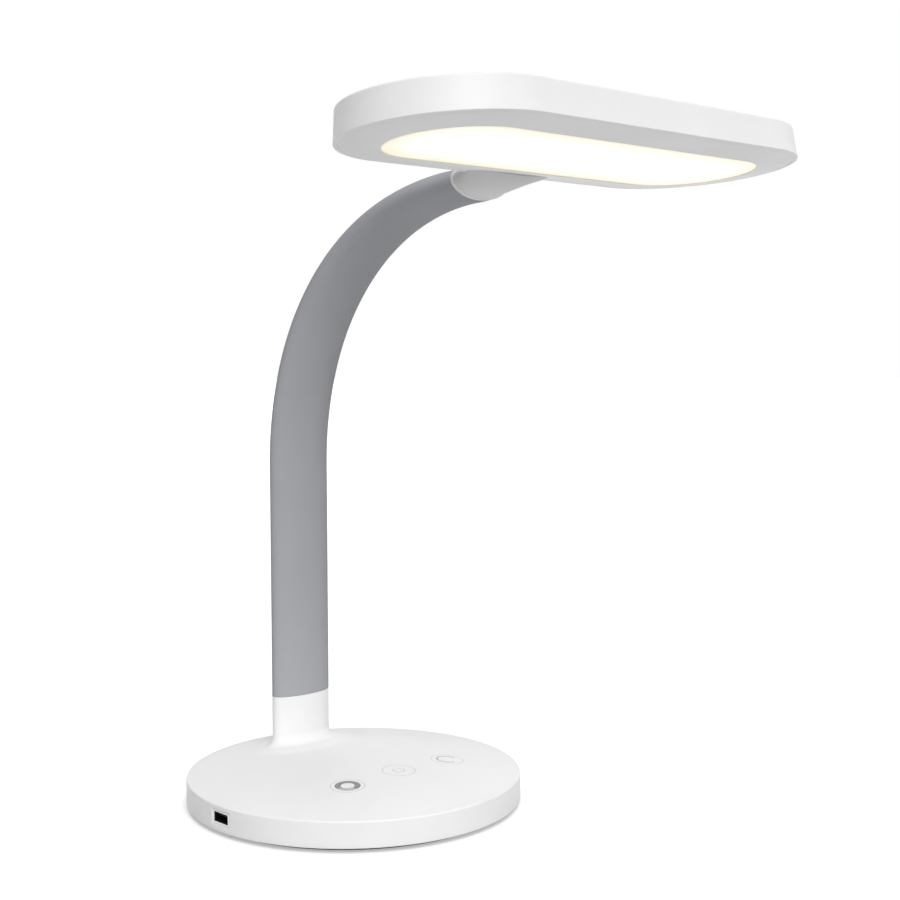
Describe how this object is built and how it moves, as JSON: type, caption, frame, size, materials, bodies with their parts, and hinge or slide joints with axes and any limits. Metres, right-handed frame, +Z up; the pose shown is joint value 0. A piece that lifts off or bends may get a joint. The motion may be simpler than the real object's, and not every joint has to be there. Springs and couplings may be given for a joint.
{
  "type": "light therapy lamp",
  "caption": "Free-standing light therapy lamp: a stadium-shaped light panel on a flexible flat-oval neck over a round weighted base with touch controls.",
  "frame": {"origin": "on the floor at the centre of the round rest pad", "axes": "+Z up; the panel runs lengthwise along X; the neck stands at +Y and the panel hangs out over -Y"},
  "size_m": [0.2904, 0.3369, 0.3889],
  "materials": {
    "white_shell": "satin",
    "collar": "satin",
    "sleeve": "matte",
    "lens": "matte",
    "clear_plastic": "gloss",
    "reflector": "gloss",
    "tray": "satin",
    "led_board": "matte",
    "board": "satin",
    "steel": "satin",
    "ballast": "matte",
    "pad": "matte",
    "dark_plastic": "matte",
    "port_frame": "satin",
    "port_tongue": "satin",
    "lead": "satin",
    "mark": "satin",
    "mark_light": "satin"
  },
  "bodies": {
    "base": {"base_cover": "white_shell", "base_plate": "dark_plastic", "ballast_plate": "ballast", "rest_pad": "pad", "base_screws": "steel", "level_mark": "mark", "power_mark": "mark_light", "mode_mark": "mark_light", "touch_board": "board", "control_board": "board", "board_screws": "steel", "usb_frame": "port_frame", "usb_shell": "steel", "usb_tongue": "port_tongue", "power_inlet": "dark_plastic", "neck_anchor": "steel", "anchor_screws": "steel", "neck_sleeve_1": "sleeve", "neck_link_1": "steel", "neck_lead_1": "lead"},
    "neck_2": {"neck_sleeve_2": "sleeve", "neck_link_2": "steel", "neck_lead_2": "lead", "hinge_pin_1": "steel"},
    "neck_3": {"neck_sleeve_3": "sleeve", "neck_link_3": "steel", "neck_lead_3": "lead", "swivel_pin": "steel"},
    "neck_4": {"neck_sleeve_4": "sleeve", "neck_link_4": "steel", "neck_lead_4": "lead", "hinge_pin_3": "steel"},
    "neck_5": {"neck_sleeve_5": "sleeve", "neck_link_5": "steel", "neck_lead_5": "lead", "hinge_pin_4": "steel"},
    "neck_6": {"neck_sleeve_6": "sleeve", "neck_link_6": "steel", "neck_lead_6": "lead", "hinge_pin_5": "steel"},
    "neck_7": {"neck_sleeve_7": "sleeve", "neck_link_7": "steel", "neck_lead_7": "lead", "hinge_pin_6": "steel"},
    "head": {"neck_sleeve_8": "sleeve", "neck_link_8": "steel", "neck_lead_8": "lead", "hinge_pin_7": "steel", "head_cover": "white_shell", "head_bezel": "white_shell", "lens_diffuser": "lens", "light_guide": "clear_plastic", "reflector_sheet": "reflector", "backing_tray": "tray", "led_strips": "led_board", "head_bracket": "steel", "head_screws": "steel", "neck_collar": "collar"}
  },
  "joints": [
    {"name": "neck_lower_bend", "type": "hinge", "parent": "base", "child": "neck_2", "pos_m": [0, 0.0514, 0.0924], "axis": [1, 0, 0], "range_deg": [-10, 8]},
    {"name": "neck_twist", "type": "hinge", "parent": "neck_2", "child": "neck_3", "pos_m": [0, 0.0514, 0.1282], "axis": [0, 0, 1], "range_deg": [-20, 20]},
    {"name": "neck_lower_bend_2", "type": "hinge", "parent": "neck_3", "child": "neck_4", "pos_m": [0, 0.0514, 0.164], "axis": [1, 0, 0], "range_deg": [-10, 8]},
    {"name": "neck_lower_bend_3", "type": "hinge", "parent": "neck_4", "child": "neck_5", "pos_m": [0, 0.0514, 0.1998], "axis": [1, 0, 0], "range_deg": [-10, 8]},
    {"name": "neck_upper_bend", "type": "hinge", "parent": "neck_5", "child": "neck_6", "pos_m": [0, 0.04091, 0.25931], "axis": [1, 0, 0], "range_deg": [-20, 10]},
    {"name": "neck_upper_bend_2", "type": "hinge", "parent": "neck_6", "child": "neck_7", "pos_m": [0, 0.00637, 0.31353], "axis": [1, 0, 0], "range_deg": [-20, 10]},
    {"name": "neck_upper_bend_3", "type": "hinge", "parent": "neck_7", "child": "head", "pos_m": [0, -0.04785, 0.34807], "axis": [1, 0, 0], "range_deg": [-20, 10]}
  ],
  "couplings": [
    {"joint": "neck_lower_bend_2", "follows": "neck_lower_bend", "ratio": 1},
    {"joint": "neck_lower_bend_3", "follows": "neck_lower_bend", "ratio": 1},
    {"joint": "neck_upper_bend_2", "follows": "neck_upper_bend", "ratio": 1},
    {"joint": "neck_upper_bend_3", "follows": "neck_upper_bend", "ratio": 1}
  ]
}
